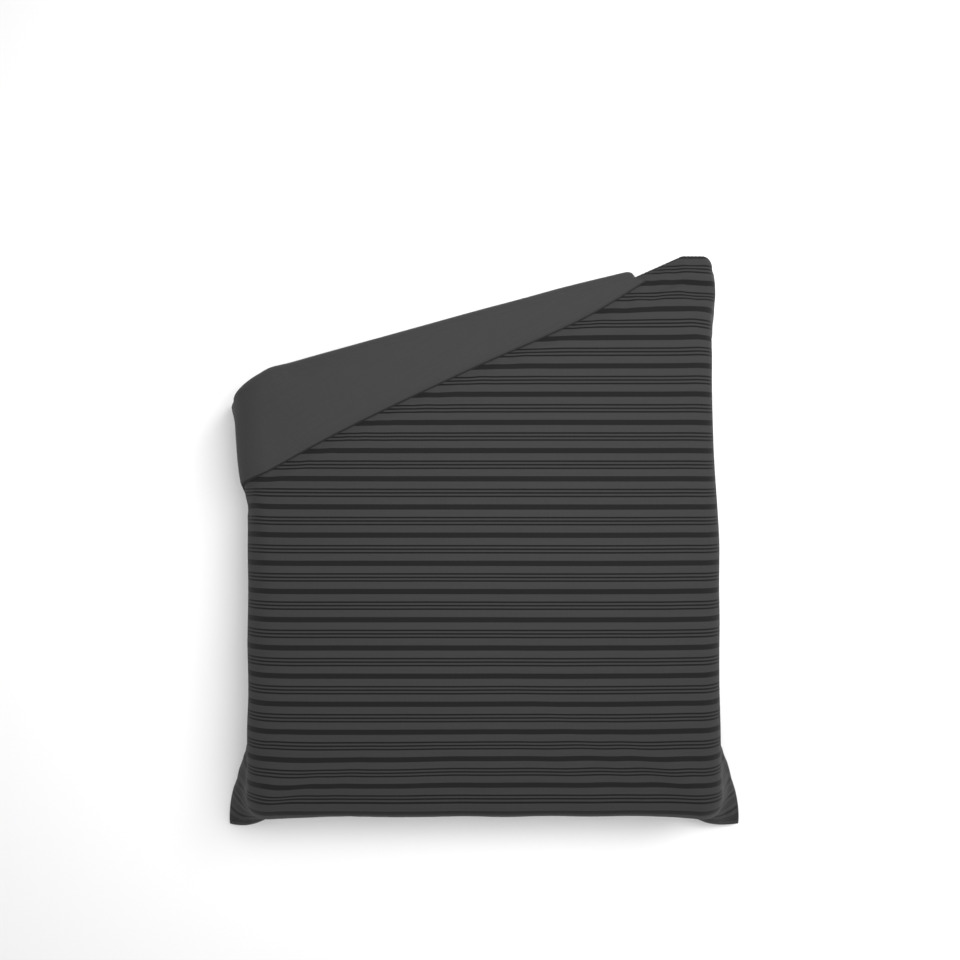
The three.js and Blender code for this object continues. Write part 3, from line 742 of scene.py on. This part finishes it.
class DUVET_OT_cover(bpy.types.Operator):
    """Face and reverse panels of the part that isn't turned back"""

    bl_idname = "duvet.cover"
    bl_label = "Cover panels"

    def execute(self, context):
        u, v = cover_grid(COVER_STEP)
        upper, _ = cover_heights(u, v)
        move = moved(0, u, v)
        face = solid_from_grids("cover_face", drape(u, v, upper) + move,
                                drape(u, v, upper - CLOTH) + move, "face", (u, v))
        rest(face, "duvet", "cover_face", "cover_face_panel")
        u, v = cover_grid(REVERSE_STEP)
        _, lower = cover_heights(u, v)
        move = moved(1, u, v)
        reverse = solid_from_grids("cover_reverse", drape(u, v, lower + CLOTH) + move,
                                   drape(u, v, lower) + move, "reverse", (u, v))
        rest(reverse, "duvet", "cover_reverse", "cover_reverse_panel")
        return {"FINISHED"}


def unfolded(spot_u, spot_v):
    """Where a place of the turned corner lies on the flat cloth: mirrored in the crease."""
    slope = math.atan(CREASE_SLOPE)
    across = (-math.sin(slope), math.cos(slope))
    distance = spot_u * across[0] + (spot_v - CREASE_MIDDLE_V) * across[1]
    return spot_u - 2 * distance * across[0], spot_v - 2 * distance * across[1]


def turned_grid(us, start, clear, count):
    """A grid of the turned corner from a share of its width to a distance from the crease."""
    u, share = np.meshgrid(us, np.linspace(0, 1, count), indexing="ij")
    end = 1 - clear / np.maximum(turned_spot(u, share)[3], 10 * clear)
    return u, start + (end - start) * share


def turned_heights(u, w):
    """Cloth coordinates under the turned corner, and the heights of its two outer surfaces."""
    sizes = bpy.context.scene.duvet_sizes
    spot_u, spot_v, from_hem, width = turned_spot(u, w)
    room = np.maximum(width - from_hem, 0) + crease_room(u)
    distance = np.minimum.reduce([hem_taper(u) * from_hem, u + HALF_WIDTH, room])
    thick = thickness(distance, sizes.seam_height, sizes.pinch)
    soft = bumps(spot_u, spot_v, (4, 4), 12.4) + 0.5 * bumps(spot_u, spot_v, (10, 8), 4.4)
    loose = smooth(width - from_hem, 0, 0.08) * (thick / THICKNESS) ** 2
    relief = sizes.relief * soft * loose
    below, _ = cover_heights(spot_u, spot_v, relief=0)
    lower = below + FOLD_GAP + side_lift(u) * w
    return spot_u, spot_v, lower + thick + relief, lower


def inside_turned(u, w, rise=0.0):
    """Points half way through the turned corner, or rise above that."""
    spot_u, spot_v, upper, lower = turned_heights(u, w)
    return drape(spot_u, spot_v, (upper + lower) / 2 + rise)


def rest_turned(piece, slot, lot, *nodes):
    """Lets a piece ride on the turned corner. A piece of the hanging lot gets a mesh of its own."""
    rest(piece, "turned_corner", slot, *nodes)
    if lot.ending:
        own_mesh(piece)
    return piece


class DUVET_OT_turned_corner(bpy.types.Operator):
    """Face and reverse panels of the turned-back corner, upside down on the duvet"""

    bl_idname = "duvet.turned_corner"
    bl_label = "Turned corner"

    def execute(self, context):
        for lot in TURNED_LOTS:
            us = steps(lot.start, lot.end, COVER_STEP)
            if lot.ending:
                underlap = (-0.3 * MM, 0, 0.3 * UNDERLAP, UNDERLAP)
                us = np.append(us[:-1], [lot.end + past for past in underlap])
            u, w = turned_grid(us, start=0.008, clear=CREASE_CLEAR, count=46)
            spot_u, spot_v, upper, lower = turned_heights(u, w)
            tucked = TUCK * (u > lot.end)
            upper, lower = upper - tucked, lower + tucked
            for side, outer, inner in (("reverse", upper, upper - CLOTH),
                                       ("face", lower + CLOTH, lower)):
                name = f"turned_{side}{lot.ending}"
                panel = solid_from_grids(name, drape(spot_u, spot_v, outer),
                                         drape(spot_u, spot_v, inner), side,
                                         unfolded(spot_u, spot_v))
                rest_turned(panel, "cover_" + side, lot, f"turned_{side}_panel{lot.ending}")
        return {"FINISHED"}


def crease_points(u, angle, depth):
    """Points round the crease: angle 0 is on top of it and pi below, and depth is the share of
    the duvet's thickness from the face cloth inside the fold to the reverse outside. Angles
    from 0 to -1 run straight on, tucked under the turned corner's cloth."""
    v = crease_v(u)
    upper, lower = cover_heights(u, v, relief=0)
    inner = (FOLD_GAP + side_lift(u)) / 2
    middle = upper + inner
    centre = drape(u, v, middle)
    normal = unit(drape(u, v, middle + MM) - centre)
    ahead = drape(u + MM, crease_v(u + MM), middle) - drape(u - MM, crease_v(u - MM), middle)
    outward = unit(np.cross(normal, ahead))
    reach = inner + (upper - lower) * depth
    round_ = np.maximum(angle, 0)
    tucked = TUCK * (angle < 0)
    straight = np.minimum(angle, 0) * UNDERLAP
    return (centre + normal * (reach * np.cos(round_) - tucked)[..., None]
            + outward * (reach * np.sin(round_) + straight)[..., None])


class DUVET_OT_crease(bpy.types.Operator):
    """Cloth and filling that bend round the fold"""

    bl_idname = "duvet.crease"
    bl_label = "Crease"

    PADDED_START = -0.600
    PADDED_ANGLE = 0.3 * math.pi

    def execute(self, context):
        whole = steps(-COVER_EDGE, CREASE_END_U, COVER_STEP)
        flat = steps(self.PADDED_START, CREASE_END_U, COVER_STEP)
        cloth_angles = np.append(np.linspace(math.pi, 0, 25), (-0.3, -1))
        below = np.linspace(math.pi, math.pi - self.PADDED_ANGLE, 9)
        skin = CLOTH / THICKNESS
        layers = [
            ("crease_reverse", "reverse", "cover_reverse", "crease_reverse_cloth",
             whole, cloth_angles, 1, 1 - skin),
            ("crease_padding_below", "filling", "insert_filling", "crease_filling",
             flat, below, 0.9, 0.45),
            ("crease_padding_above", "filling", "insert_filling", "crease_filling",
             flat, math.pi - below[::-1], 0.9, 0.45),
            ("crease_face", "face", "cover_face", "crease_face_cloth",
             whole, cloth_angles, skin, 0),
        ]
        for name, look, slot, node, us, angles, outer, inner in layers:
            u, angle = np.meshgrid(us, angles, indexing="ij")
            cloth = (u, crease_v(u) + angle * 0.02)
            swell = 0.06 * bumps(u, angle, (5, 0.6), 8.1) * np.sin(np.maximum(angle, 0)) ** 2
            piece = solid_from_grids(name, crease_points(u, angle, outer + outer * swell),
                                     crease_points(u, angle, inner + outer * swell), look, cloth)
            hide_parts(node)
            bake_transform(piece)
        return {"FINISHED"}


class DUVET_OT_insert(bpy.types.Operator):
    """The quilted insert with its bound edge, flat part and turned part"""

    bl_idname = "duvet.insert"
    bl_label = "Insert"

    SLACK = 7 * MM

    def execute(self, context):
        u, v = duvet_grid(INSERT_EDGE, INSERT_BORDER, INSERT_STEP)
        upper, lower = self.quilted(u, *cover_heights(u, v))
        body = solid_from_grids("insert_body", drape(u, v, upper) + moved(0, u, v),
                                drape(u, v, lower) + moved(1, u, v), "filling", (u, v))
        rest(body, "duvet", "insert_filling", *[f"insert_channel_{k + 1}" for k in range(CHANNELS)])
        for lot in TURNED_LOTS:
            us = steps(max(lot.start, -INSERT_EDGE), lot.end, TURNED_INSERT_STEP)
            u, w = turned_grid(us, start=0.1, clear=4 * CREASE_CLEAR, count=24)
            spot_u, spot_v, upper, lower = turned_heights(u, w)
            upper, lower = self.quilted(u, upper, lower)
            turned = solid_from_grids("insert_turned" + lot.ending, drape(spot_u, spot_v, upper),
                                      drape(spot_u, spot_v, lower), "filling", (spot_u, spot_v))
            rest_turned(turned, "insert_filling", lot,
                                    *[f"turned_insert_channel_{k}" for k in lot.channels])
        self.binding()
        return {"FINISHED"}

    def quilted(self, u, upper, lower):
        """Surfaces inside two others, drawn together along the stitch lines of the channels."""
        pitch = 2 * HALF_WIDTH / CHANNELS
        to_line = np.abs((u / pitch + 0.5) % 1 - 0.5) * pitch
        full = 0.35 + 0.65 * plump(to_line, 0.04)
        middle = (upper + lower) / 2
        half = np.maximum((upper - lower) / 2 - self.SLACK, 0.5 * MM) * full
        return middle + half, middle - half

    def binding(self):
        """Tape sewn round the insert's edge."""
        edge = INSERT_EDGE
        foot = FOOT_V + INSERT_BORDER
        right_head = float(head_v(np.array(edge))) - INSERT_BORDER
        left_head = float(head_v(np.array(-edge)))
        foot_us = steps(-edge, edge, BINDING_STEP)
        head_us = steps(CREASE_END_U, edge, BINDING_STEP)
        runs = {
            "left": (np.full(120, -edge), np.linspace(foot, left_head, 120)),
            "right": (np.full(140, edge), np.linspace(foot, right_head, 140)),
            "foot": (foot_us, np.full(foot_us.shape, foot)),
            "head": (head_us, head_v(head_us) - INSERT_BORDER),
        }
        for name, (us, vs) in runs.items():
            piece = tube(inside(us, vs), "binding_" + name, "binding", 3.6 * MM)
            rest(piece, "duvet", "insert_binding", "insert_binding_" + name)


# By default a tube takes the seam colour, darkened as painted shade along the edges.
def tube(points, name, look="seam", radius=3.3 * MM, rings=10, pucker=0.14):
    """A narrow welted or bound edge along points, puckered by its stitches."""
    ahead = unit(np.gradient(points, axis=0))
    side = np.cross(ahead, (0.0, 0.0, 1.0))
    short = np.linalg.norm(side, axis=1) < 0.2
    side[short] = np.cross(ahead[short], (1.0, 0.0, 0.0))
    side = unit(side)
    up = np.cross(side, ahead)
    angle = np.linspace(0, 2 * math.pi, rings, endpoint=False)
    gone = run_lengths(points)
    swell = 1 + pucker * np.sin(gone * 2 * math.pi / PUCKER_PITCH)
    ring = (side[:, None] * np.cos(angle)[None, :, None]
            + up[:, None] * np.sin(angle)[None, :, None] * 0.8)
    surface = points[:, None] + ring * (radius * swell)[:, None, None]
    count = len(points)
    index = np.arange(count * rings).reshape(count, rings)
    after = np.roll(index, -1, axis=1)
    quads = np.stack([index[:-1], index[1:], after[1:], after[:-1]], -1).reshape(-1, 4).tolist()
    caps = [index[0].tolist(), index[-1][::-1].tolist()]
    cloth = np.dstack([np.repeat(gone[:, None], rings, 1), np.tile(angle * radius, (count, 1)),
                       np.zeros((count, rings))])
    return new_piece(name, surface, quads + caps, [finish(look)], cloth)


def stitches(name, points, normals):
    """A row of short thread stitches lying on cloth along points."""
    pitch = bpy.context.scene.duvet_sizes.stitch_pitch
    gone = run_lengths(points)
    starts = np.arange(pitch, gone[-1] - pitch, pitch)
    share = np.linspace(0, 1, 5)
    along = starts[:, None] + (share * 0.72 * pitch)[None, :]
    line = np.stack([np.interp(along, gone, points[:, k]) for k in range(3)], -1)
    up = np.stack([np.interp(along, gone, normals[:, k]) for k in range(3)], -1)
    ahead = line[:, -1:] - line[:, :1]
    side = unit(np.cross(up, ahead))
    arch = np.sin(share * math.pi)[None, :, None]
    half = 0.32 * MM * (0.35 + 0.65 * arch)
    line = line + up * (0.45 * MM * arch - 0.15 * MM)
    rings = [line + side * half * math.cos(a) + up * half * math.sin(a)
             for a in np.linspace(0, 2 * math.pi, 6, endpoint=False)]
    grid = np.stack(rings, axis=2)
    index = np.arange(grid.size // 3).reshape(grid.shape[:3])
    after = np.roll(index, -1, axis=2)
    quads = np.stack([index[:, :-1], after[:, :-1], after[:, 1:], index[:, 1:]], -1).reshape(-1, 4)
    ends = index[:, 0].tolist() + index[:, -1, ::-1].tolist()
    return new_piece(name, grid, quads.tolist() + ends, [finish("thread")])


def on_cloth(us, vs, heights):
    """Points on the cloth, and the normals there."""
    points = drape(us, vs, heights)
    return points, unit(drape(us, vs, heights + MM) - points)


class DUVET_OT_seams(bpy.types.Operator):
    """Welted edges of the cover and the topstitching of its hems"""

    bl_idname = "duvet.seams"
    bl_label = "Seams"

    def execute(self, context):
        edge = HALF_WIDTH - SEAM_INSET
        head_us = steps(CREASE_END_U, edge, SEAM_STEP)
        runs = {}
        for name, u in (("side_seam_left", -edge), ("side_seam_right", edge)):
            vs = steps(FOOT_V + 2 * MM, float(head_v(np.array(u))) - SEAM_INSET, SEAM_STEP)
            runs[name] = (np.full(vs.shape, u), vs)
        runs["head_seam"] = (head_us, head_v(head_us) - SEAM_INSET)
        for name, start, end in (("foot_seam_left", -edge, -ZIP_HALF),
                                 ("foot_seam_right", ZIP_HALF, edge)):
            us = steps(start, end, SEAM_STEP)
            runs[name] = (us, np.full(us.shape, FOOT_V + SEAM_INSET))
        for name, (us, vs) in runs.items():
            welt = tube(inside(us, vs, relief=1.0), name + "_welt")
            rest(welt, "duvet", "cover_seam", name)
        foot_us = steps(-edge + HEM_STITCH_INSET, edge - HEM_STITCH_INSET, SEAM_STEP)
        rows = {"foot_stitching": (foot_us, np.full(foot_us.shape, FOOT_V + HEM_STITCH_INSET)),
                "head_stitching": (head_us, head_v(head_us) - HEM_STITCH_INSET)}
        for name, (us, vs) in rows.items():
            upper, _ = cover_heights(us, vs)
            rest(stitches(name, *on_cloth(us, vs, upper)), "duvet", "cover_seam")
        self.turned()
        return {"FINISHED"}

    def turned(self):
        """Welts and stitching of the turned corner's head hem, and its side seam."""
        for lot in TURNED_LOTS:
            us = steps(lot.start, lot.end, SEAM_STEP)
            name = "turned_head_seam" + lot.ending
            welt = tube(inside_turned(us, np.full(us.shape, 0.003)), name + "_welt")
            rest_turned(welt, "cover_seam", lot, name)
            width = turned_spot(us, np.zeros(us.shape))[3]
            inset = np.minimum(HEM_STITCH_INSET / width, 0.5)
            spot_u, spot_v, upper, _ = turned_heights(us, inset)
            row = stitches("turned_stitching" + lot.ending, *on_cloth(spot_u, spot_v, upper))
            rest_turned(row, "cover_seam", lot)
        w = steps(0, 1, 0.02)
        us = np.full(w.shape, -HALF_WIDTH + SEAM_INSET)
        welt = tube(inside_turned(us, w), "turned_side_seam_welt")
        rest_turned(welt, "cover_seam", TURNED_LOTS[-1], "turned_side_seam")


def tape(name, look, place, long, wide, thick=1.1 * MM):
    """A flat woven tape: place gives points for shares along and across and a height. long and
    wide count the lines of its grid."""
    a, b = np.meshgrid(np.linspace(0, 1, long), np.linspace(0, 1, wide), indexing="ij")
    top = place(a, b, thick / 2)
    bottom = place(a, b, -thick / 2)
    return solid_from_grids(name, top, bottom, look, (a * 0.1, b * 0.02))


TIE_LENGTH = 0.060
TIE_WIDTH = 6 * MM
TIE_U = 0.980
LABEL_V = FOOT_V + 0.540
LABEL_LENGTH = 0.045
LABEL_WIDTH = 2 * TIE_WIDTH


class DUVET_OT_corner_ties(bpy.types.Operator):
    """Ties of the cover, loops of the insert, and the care label"""

    bl_idname = "duvet.corner_ties"
    bl_label = "Corner ties"

    def execute(self, context):
        foot, head = FOOT_V + INSERT_BORDER, HEAD_V - INSERT_BORDER - TIE_LENGTH
        for corner, u, v in (("foot_left", -TIE_U, foot), ("foot_right", TIE_U, foot),
                             ("head_right", TIE_U, head)):
            tie, loop = self.pair(corner, self.flat_place(u, v))
            rest(tie, "duvet", "tape_cloth", "corner_tie_" + corner)
            rest(loop, "duvet", "insert_binding", "insert_loop_" + corner)
        tie, loop = self.pair("head_left", self.turned_place())
        rest_turned(tie, "tape_cloth", TURNED_LOTS[-1], "corner_tie_head_left")
        rest_turned(loop, "insert_binding", TURNED_LOTS[-1], "insert_loop_head_left")
        at = self.flat_place(-TIE_U, LABEL_V)
        label = tape("care_label_ribbon", "label",
                     lambda a, b, t: at(a * LABEL_LENGTH, (b - 0.5) * LABEL_WIDTH, t - 4 * MM),
                     16, 6, 0.6 * MM)
        rest(label, "duvet", "label_cloth", "care_label")
        return {"FINISHED"}

    def pair(self, corner, at):
        """A tie with a gentle wave, and the loop that it holds, arched over its middle."""
        tie = tape("tie_" + corner, "tape",
                   lambda a, b, t: at(a * TIE_LENGTH, (b - 0.5) * TIE_WIDTH,
                                      t + 0.5 * MM * np.sin(a * 9)), 40, 5)
        loop = tape("loop_" + corner, "binding",
                    lambda a, b, t: at((0.2 + 0.6 * a) * TIE_LENGTH, (b - 0.5) * 0.7 * TIE_WIDTH,
                                       t + 1.8 * MM + 2 * MM * np.sin(a * math.pi)), 30, 5)
        return tie, loop

    def flat_place(self, u, v):
        """Points inside the duvet from a place on its cloth, by distances along and across."""
        return lambda along, across, height: inside(u + across, v + along, height)

    def turned_place(self):
        """The same inside the turned corner, from its head hem."""
        def at(along, across, height):
            us = -TIE_U + across
            width = turned_spot(us, np.zeros(us.shape))[3]
            return inside_turned(us, (0.03 + along) / width, height)
        return at


MID_T = THICKNESS / 2
COIL_PITCH = 1.6 * MM
COIL_WIRE = 0.36 * MM
COIL_TURN = 0.85 * MM  # from a coil's middle to its wire, along the duvet
COIL_RISE = 0.7 * MM  # the same through the duvet
COIL_POINTS = 10  # points on one turn
CHAIN_OFFSET = 1.75 * MM
TAPE_INSET = 2.1 * MM
TAPE_ROLL = 9 * MM
TAPE_OFFSET = 3.1 * MM
TAPE_RISE = 5.2 * MM


class DUVET_OT_zip(bpy.types.Operator):
    """Zip tapes and the two nylon coils"""

    bl_idname = "duvet.zip"
    bl_label = "Zip"

    def execute(self, context):
        for side, way in (("reverse", -1), ("face", 1)):
            self.tape(side, way)
            self.coil(side, way)
        return {"FINISHED"}

    def tape(self, side, way):
        """From beside the coil, rolling inwards under the cloth's edge."""
        def place(a, b, t):
            us = -ZIP_HALF + 2 * ZIP_HALF * a
            roll = b**2
            vs = FOOT_V + TAPE_INSET + t * (1 - roll) + TAPE_ROLL * roll
            return drape(us, vs, MID_T + way * (TAPE_OFFSET + TAPE_RISE * b - t * roll))
        rest(tape("tape_" + side, "tape", place, 160, 9), "duvet", "tape_cloth", "zip_tape_" + side)

    def coil(self, side, way):
        """A flattened helix of nylon wire, half a pitch out of step with its neighbour."""
        turns = int(2 * ZIP_HALF / COIL_PITCH) - 1
        phase = np.arange(turns * COIL_POINTS + 1) / COIL_POINTS
        us = -ZIP_HALF + (phase + (0.75 if way > 0 else 0.25)) * COIL_PITCH
        turn = phase * 2 * math.pi
        vs = FOOT_V + SEAM_INSET + COIL_TURN * np.sin(turn)
        centre = drape(us, vs, MID_T + way * (CHAIN_OFFSET + COIL_RISE * np.cos(turn)))
        wire = tube(centre, "coil_" + side, "nylon", COIL_WIRE, rings=6, pucker=0)
        rest(wire, "duvet", "zip_nylon", "zip_chain_" + side)


class DUVET_OT_metal(bpy.types.Operator):
    """Metal of the slider, pull and end stops, which keep their CAD shapes"""

    bl_idname = "duvet.metal"
    bl_label = "Zip metal"

    def execute(self, context):
        for name in ("zip_slider", "zip_pull", "zip_stop_left", "zip_stop_right"):
            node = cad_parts[name]
            node.data.materials.clear()
            node.data.materials.append(finish("zinc"))
        return {"FINISHED"}


LAMPS = (  # name, place, size, watts
    ("key", (2.6, 1.7, 3.6), 2.2, 150),
    ("fill", (-2.8, -1.0, 3.8), 3.5, 14),
    ("top", (0.15, 0.15, 2.0), 1.0, 32),
)
SKY_STRENGTH = 0.62
CAMERA_X = -0.018
LENS_SHIFT = (0.001, -0.0135)


class DUVET_OT_stage(bpy.types.Operator):
    """Pale floor, soft lamps and the camera straight above"""

    bl_idname = "duvet.stage"
    bl_label = "Stage"

    def execute(self, context):
        stage = context.scene.duvet_stage
        self.floor(stage)
        self.lamps(context.scene)
        self.camera(context.scene, stage)
        return {"FINISHED"}

    def floor(self, stage):
        bpy.ops.mesh.primitive_plane_add(size=60, location=(0, 0, FLOOR_Z))
        floor = bpy.context.object
        floor.name = "floor"
        paint = Material("pale_floor", Roughness=0.9, Specular_IOR_Level=0.1)
        paint.shader.inputs["Base Color"].default_value = rgba(stage.floor)
        floor.data.materials.append(paint.material)

    def lamps(self, scene):
        for name, place, size, power in LAMPS:
            light = bpy.data.lights.new(name, "AREA")
            light.size = size
            light.energy = power
            lamp = bpy.data.objects.new(name, light)
            lamp.location = place
            lamp.rotation_euler = (-Vector(place)).to_track_quat("-Z", "Y").to_euler()
            lamp.visible_camera = False
            scene.collection.objects.link(lamp)
        world = bpy.data.worlds.new("studio")
        scene.world = world
        world.use_nodes = True
        sky = world.node_tree.nodes["Background"]
        sky.inputs["Color"].default_value = (1, 1, 1, 1)
        sky.inputs["Strength"].default_value = SKY_STRENGTH
        scene.view_settings.view_transform = "Standard"

    def camera(self, scene, stage):
        lens = bpy.data.cameras.new("camera")
        lens.lens = stage.lens
        lens.sensor_width = 36
        lens.shift_x, lens.shift_y = LENS_SHIFT
        camera = bpy.data.objects.new("camera", lens)
        camera.location = (CAMERA_X, 0, stage.camera_height)
        scene.collection.objects.link(camera)
        scene.camera = camera


class DUVET_PT_panel(bpy.types.Panel):
    """Lists the steps and their settings"""

    bl_idname = "DUVET_PT_panel"
    bl_label = "Duvet"
    bl_space_type = "VIEW_3D"
    bl_region_type = "UI"
    bl_category = "Duvet"

    def draw(self, context):
        for operator in OPERATORS:
            self.layout.operator(operator.bl_idname)
        for group in (context.scene.duvet_sizes, context.scene.duvet_colours,
                      context.scene.duvet_stage):
            box = self.layout.box()
            for name in group.__annotations__:
                box.prop(group, name)


OPERATORS = (DUVET_OT_cover, DUVET_OT_turned_corner, DUVET_OT_crease, DUVET_OT_insert,
             DUVET_OT_seams, DUVET_OT_corner_ties, DUVET_OT_zip, DUVET_OT_metal, DUVET_OT_stage)
GROUPS = {"duvet_sizes": ClothSizes, "duvet_colours": ClothColours, "duvet_stage": StageSettings}


def register():
    for group in GROUPS.values():
        bpy.utils.register_class(group)
    for name, group in GROUPS.items():
        setattr(bpy.types.Scene, name, bpy.props.PointerProperty(type=group))
    for item in (*OPERATORS, DUVET_PT_panel):
        bpy.utils.register_class(item)


def unregister():
    for item in (DUVET_PT_panel, *reversed(OPERATORS)):
        bpy.utils.unregister_class(item)
    for name, group in GROUPS.items():
        delattr(bpy.types.Scene, name)
        bpy.utils.unregister_class(group)


def main():
    """Builds everything, step by step."""
    register()
    bpy.ops.duvet.cover()
    bpy.ops.duvet.turned_corner()
    bpy.ops.duvet.crease()
    bpy.ops.duvet.insert()
    bpy.ops.duvet.seams()
    bpy.ops.duvet.corner_ties()
    bpy.ops.duvet.zip()
    bpy.ops.duvet.metal()
    bpy.ops.duvet.stage()


if __name__ == "__main__":
    main()
